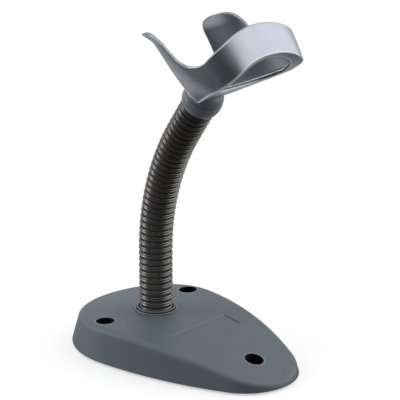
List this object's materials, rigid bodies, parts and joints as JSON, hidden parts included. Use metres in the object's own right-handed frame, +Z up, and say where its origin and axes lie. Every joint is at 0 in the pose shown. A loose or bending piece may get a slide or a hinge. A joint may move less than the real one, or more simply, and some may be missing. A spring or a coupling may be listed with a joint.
{
  "type": "handheld scanner stand",
  "caption": "Desk stand for a handheld barcode scanner: weighted teardrop base, flexible gooseneck of interlocking turns, and an open cup holder on a friction swivel.",
  "frame": {"origin": "on the table, straight under the foot of the neck", "axes": "+Z up, +X towards the narrow front of the base and the way the holder reaches, +Y to the left"},
  "size_m": [0.1677, 0.108, 0.2281],
  "materials": {
    "base_plastic": "fine matte grain",
    "neck_plastic": "glossy",
    "fitting_plastic": "fine matte grain",
    "holder_plastic": "satin",
    "ballast_iron": "as cast",
    "plate_steel": "black coated",
    "screw_steel": "zinc plated",
    "pad_rubber": "matte",
    "washer_steel": "zinc plated",
    "friction_nylon": "natural"
  },
  "bodies": {
    "base": {"base_cover": "base_plastic", "neck_bezel": "base_plastic", "ballast_plate": "ballast_iron", "bottom_plate": "plate_steel", "ballast_screws": "screw_steel", "bottom_plate_screws": "screw_steel", "foot_pads": "pad_rubber", "neck_foot_fitting": "fitting_plastic", "neck_lock_nut": "washer_steel", "neck_lock_washer": "washer_steel"},
    "turn_01": {"neck_turn_01": "neck_plastic"},
    "turn_02": {"neck_turn_02": "neck_plastic"},
    "turn_03": {"neck_turn_03": "neck_plastic"},
    "turn_04": {"neck_turn_04": "neck_plastic"},
    "turn_05": {"neck_turn_05": "neck_plastic"},
    "turn_06": {"neck_turn_06": "neck_plastic"},
    "turn_07": {"neck_turn_07": "neck_plastic"},
    "turn_08": {"neck_turn_08": "neck_plastic"},
    "turn_09": {"neck_turn_09": "neck_plastic"},
    "turn_10": {"neck_turn_10": "neck_plastic"},
    "turn_11": {"neck_turn_11": "neck_plastic"},
    "turn_12": {"neck_turn_12": "neck_plastic"},
    "turn_13": {"neck_turn_13": "neck_plastic"},
    "turn_14": {"neck_turn_14": "neck_plastic"},
    "turn_15": {"neck_turn_15": "neck_plastic"},
    "turn_16": {"neck_turn_16": "neck_plastic"},
    "turn_17": {"neck_turn_17": "neck_plastic"},
    "turn_18": {"neck_turn_18": "neck_plastic"},
    "turn_19": {"neck_turn_19": "neck_plastic"},
    "turn_20": {"neck_turn_20": "neck_plastic"},
    "turn_21": {"neck_turn_21": "neck_plastic"},
    "turn_22": {"neck_turn_22": "neck_plastic"},
    "turn_23": {"neck_turn_23": "neck_plastic"},
    "turn_24": {"neck_turn_24": "neck_plastic"},
    "turn_25": {"neck_turn_25": "neck_plastic"},
    "turn_26": {"neck_turn_26": "neck_plastic"},
    "turn_27": {"neck_turn_27": "neck_plastic"},
    "turn_28": {"neck_turn_28": "neck_plastic"},
    "turn_29": {"neck_turn_29": "neck_plastic"},
    "turn_30": {"neck_turn_30": "neck_plastic"},
    "turn_31": {"neck_turn_31": "neck_plastic"},
    "turn_32": {"neck_turn_32": "neck_plastic"},
    "turn_33": {"neck_turn_33": "neck_plastic"},
    "turn_34": {"neck_turn_34": "neck_plastic"},
    "turn_35": {"neck_turn_35": "neck_plastic"},
    "turn_36": {"neck_turn_36": "neck_plastic"},
    "turn_37": {"neck_turn_37": "neck_plastic", "neck_end_fitting": "fitting_plastic", "neck_collar": "fitting_plastic", "swivel_friction_washer": "friction_nylon", "swivel_screw_washer": "washer_steel", "swivel_screw": "screw_steel"},
    "holder": {"holder": "holder_plastic"}
  },
  "joints": [
    {"name": "neck_bend", "type": "hinge", "parent": "base", "child": "turn_01", "pos_m": [0, 0, 0.02124], "axis": [0, 1, 0], "range_deg": [-2.22, 2.5]},
    {"name": "neck_sway", "type": "hinge", "parent": "turn_01", "child": "turn_02", "pos_m": [0, 0, 0.0254], "axis": [1, 0, 0], "range_deg": [-2.5, 2.5]},
    {"name": "bend_03", "type": "hinge", "parent": "turn_02", "child": "turn_03", "pos_m": [0, 0, 0.02956], "axis": [0, 1, 0], "range_deg": [-2.47, 2.75]},
    {"name": "sway_04", "type": "hinge", "parent": "turn_03", "child": "turn_04", "pos_m": [0, 0, 0.03372], "axis": [1, 0, 0], "range_deg": [-2.75, 2.75]},
    {"name": "bend_05", "type": "hinge", "parent": "turn_04", "child": "turn_05", "pos_m": [0, 0, 0.03788], "axis": [0, 1, 0], "range_deg": [-2.47, 2.75]},
    {"name": "sway_06", "type": "hinge", "parent": "turn_05", "child": "turn_06", "pos_m": [0, 0, 0.04204], "axis": [1, 0, 0], "range_deg": [-2.75, 2.75]},
    {"name": "bend_07", "type": "hinge", "parent": "turn_06", "child": "turn_07", "pos_m": [0, 0, 0.0462], "axis": [0, 1, 0], "range_deg": [-2.47, 2.75]},
    {"name": "sway_08", "type": "hinge", "parent": "turn_07", "child": "turn_08", "pos_m": [0, 0, 0.05036], "axis": [1, 0, 0], "range_deg": [-2.75, 2.75]},
    {"name": "bend_09", "type": "hinge", "parent": "turn_08", "child": "turn_09", "pos_m": [0, 0, 0.05452], "axis": [0, 1, 0], "range_deg": [-2.47, 2.75]},
    {"name": "sway_10", "type": "hinge", "parent": "turn_09", "child": "turn_10", "pos_m": [0, 0, 0.05868], "axis": [1, 0, 0], "range_deg": [-2.75, 2.75]},
    {"name": "bend_11", "type": "hinge", "parent": "turn_10", "child": "turn_11", "pos_m": [0, 0, 0.06284], "axis": [0, 1, 0], "range_deg": [-2.47, 2.75]},
    {"name": "sway_12", "type": "hinge", "parent": "turn_11", "child": "turn_12", "pos_m": [0.00006, 0, 0.067], "axis": [0.9996, 0, -0.029], "range_deg": [-2.75, 2.75]},
    {"name": "bend_13", "type": "hinge", "parent": "turn_12", "child": "turn_13", "pos_m": [0.00024, 0, 0.07116], "axis": [0, 1, 0], "range_deg": [-2.47, 2.75]},
    {"name": "sway_14", "type": "hinge", "parent": "turn_13", "child": "turn_14", "pos_m": [0.00053, 0, 0.0753], "axis": [0.9966, 0, -0.0824], "range_deg": [-2.75, 2.75]},
    {"name": "bend_15", "type": "hinge", "parent": "turn_14", "child": "turn_15", "pos_m": [0.00093, 0, 0.07945], "axis": [0, 1, 0], "range_deg": [-2.47, 2.75]},
    {"name": "sway_16", "type": "hinge", "parent": "turn_15", "child": "turn_16", "pos_m": [0.00144, 0, 0.08357], "axis": [0.9908, 0, -0.1356], "range_deg": [-2.75, 2.75]},
    {"name": "bend_17", "type": "hinge", "parent": "turn_16", "child": "turn_17", "pos_m": [0.00205, 0, 0.08769], "axis": [0, 1, 0], "range_deg": [-2.47, 2.75]},
    {"name": "sway_18", "type": "hinge", "parent": "turn_17", "child": "turn_18", "pos_m": [0.00278, 0, 0.09178], "axis": [0.9821, 0, -0.1884], "range_deg": [-2.75, 2.75]},
    {"name": "bend_19", "type": "hinge", "parent": "turn_18", "child": "turn_19", "pos_m": [0.00362, 0, 0.09586], "axis": [0, 1, 0], "range_deg": [-2.47, 2.75]},
    {"name": "sway_20", "type": "hinge", "parent": "turn_19", "child": "turn_20", "pos_m": [0.00457, 0, 0.09991], "axis": [0.9706, 0, -0.2407], "range_deg": [-2.75, 2.75]},
    {"name": "bend_21", "type": "hinge", "parent": "turn_20", "child": "turn_21", "pos_m": [0.00562, 0, 0.10393], "axis": [0, 1, 0], "range_deg": [-2.47, 2.75]},
    {"name": "sway_22", "type": "hinge", "parent": "turn_21", "child": "turn_22", "pos_m": [0.00679, 0, 0.10793], "axis": [0.9563, 0, -0.2923], "range_deg": [-2.75, 2.75]},
    {"name": "bend_23", "type": "hinge", "parent": "turn_22", "child": "turn_23", "pos_m": [0.00806, 0, 0.11189], "axis": [0, 1, 0], "range_deg": [-2.47, 2.75]},
    {"name": "sway_24", "type": "hinge", "parent": "turn_23", "child": "turn_24", "pos_m": [0.00943, 0, 0.11581], "axis": [0.9393, 0, -0.3431], "range_deg": [-2.75, 2.75]},
    {"name": "bend_25", "type": "hinge", "parent": "turn_24", "child": "turn_25", "pos_m": [0.01091, 0, 0.1197], "axis": [0, 1, 0], "range_deg": [-2.47, 2.75]},
    {"name": "sway_26", "type": "hinge", "parent": "turn_25", "child": "turn_26", "pos_m": [0.01249, 0, 0.12355], "axis": [0.9196, 0, -0.3929], "range_deg": [-2.75, 2.75]},
    {"name": "bend_27", "type": "hinge", "parent": "turn_26", "child": "turn_27", "pos_m": [0.01418, 0, 0.12735], "axis": [0, 1, 0], "range_deg": [-2.47, 2.75]},
    {"name": "sway_28", "type": "hinge", "parent": "turn_27", "child": "turn_28", "pos_m": [0.01597, 0, 0.13111], "axis": [0.8973, 0, -0.4415], "range_deg": [-2.75, 2.75]},
    {"name": "bend_29", "type": "hinge", "parent": "turn_28", "child": "turn_29", "pos_m": [0.01785, 0, 0.13482], "axis": [0, 1, 0], "range_deg": [-2.47, 2.75]},
    {"name": "sway_30", "type": "hinge", "parent": "turn_29", "child": "turn_30", "pos_m": [0.01984, 0, 0.13847], "axis": [0.8723, 0, -0.4889], "range_deg": [-2.75, 2.75]},
    {"name": "bend_31", "type": "hinge", "parent": "turn_30", "child": "turn_31", "pos_m": [0.02192, 0, 0.14207], "axis": [0, 1, 0], "range_deg": [-2.47, 2.75]},
    {"name": "sway_32", "type": "hinge", "parent": "turn_31", "child": "turn_32", "pos_m": [0.0241, 0, 0.14562], "axis": [0.8449, 0, -0.5349], "range_deg": [-2.75, 2.75]},
    {"name": "bend_33", "type": "hinge", "parent": "turn_32", "child": "turn_33", "pos_m": [0.02637, 0, 0.1491], "axis": [0, 1, 0], "range_deg": [-2.47, 2.75]},
    {"name": "sway_34", "type": "hinge", "parent": "turn_33", "child": "turn_34", "pos_m": [0.02866, 0, 0.15257], "axis": [0.8339, 0, -0.5519], "range_deg": [-2.75, 2.75]},
    {"name": "bend_35", "type": "hinge", "parent": "turn_34", "child": "turn_35", "pos_m": [0.03096, 0, 0.15604], "axis": [0, 1, 0], "range_deg": [-2.47, 2.75]},
    {"name": "sway_36", "type": "hinge", "parent": "turn_35", "child": "turn_36", "pos_m": [0.03325, 0, 0.15951], "axis": [0.8339, 0, -0.5519], "range_deg": [-2.75, 2.75]},
    {"name": "bend_37", "type": "hinge", "parent": "turn_36", "child": "turn_37", "pos_m": [0.03555, 0, 0.16298], "axis": [0, 1, 0], "range_deg": [-2.47, 2.75]},
    {"name": "holder_swivel", "type": "hinge", "parent": "turn_37", "child": "holder", "pos_m": [0.03785, 0, 0.16645], "axis": [0.5519, 0, 0.8339], "range_deg": [-60, 60]}
  ],
  "couplings": [
    {"joint": "bend_03", "follows": "neck_bend", "ratio": 1},
    {"joint": "sway_04", "follows": "neck_sway", "ratio": 1},
    {"joint": "bend_05", "follows": "neck_bend", "ratio": 1},
    {"joint": "sway_06", "follows": "neck_sway", "ratio": 1},
    {"joint": "bend_07", "follows": "neck_bend", "ratio": 1},
    {"joint": "sway_08", "follows": "neck_sway", "ratio": 1},
    {"joint": "bend_09", "follows": "neck_bend", "ratio": 1},
    {"joint": "sway_10", "follows": "neck_sway", "ratio": 1},
    {"joint": "bend_11", "follows": "neck_bend", "ratio": 1},
    {"joint": "sway_12", "follows": "neck_sway", "ratio": 1},
    {"joint": "bend_13", "follows": "neck_bend", "ratio": 1},
    {"joint": "sway_14", "follows": "neck_sway", "ratio": 1},
    {"joint": "bend_15", "follows": "neck_bend", "ratio": 1},
    {"joint": "sway_16", "follows": "neck_sway", "ratio": 1},
    {"joint": "bend_17", "follows": "neck_bend", "ratio": 1},
    {"joint": "sway_18", "follows": "neck_sway", "ratio": 1},
    {"joint": "bend_19", "follows": "neck_bend", "ratio": 1},
    {"joint": "sway_20", "follows": "neck_sway", "ratio": 1},
    {"joint": "bend_21", "follows": "neck_bend", "ratio": 1},
    {"joint": "sway_22", "follows": "neck_sway", "ratio": 1},
    {"joint": "bend_23", "follows": "neck_bend", "ratio": 1},
    {"joint": "sway_24", "follows": "neck_sway", "ratio": 1},
    {"joint": "bend_25", "follows": "neck_bend", "ratio": 1},
    {"joint": "sway_26", "follows": "neck_sway", "ratio": 1},
    {"joint": "bend_27", "follows": "neck_bend", "ratio": 1},
    {"joint": "sway_28", "follows": "neck_sway", "ratio": 1},
    {"joint": "bend_29", "follows": "neck_bend", "ratio": 1},
    {"joint": "sway_30", "follows": "neck_sway", "ratio": 1},
    {"joint": "bend_31", "follows": "neck_bend", "ratio": 1},
    {"joint": "sway_32", "follows": "neck_sway", "ratio": 1},
    {"joint": "bend_33", "follows": "neck_bend", "ratio": 1},
    {"joint": "sway_34", "follows": "neck_sway", "ratio": 1},
    {"joint": "bend_35", "follows": "neck_bend", "ratio": 1},
    {"joint": "sway_36", "follows": "neck_sway", "ratio": 1},
    {"joint": "bend_37", "follows": "neck_bend", "ratio": 1}
  ]
}
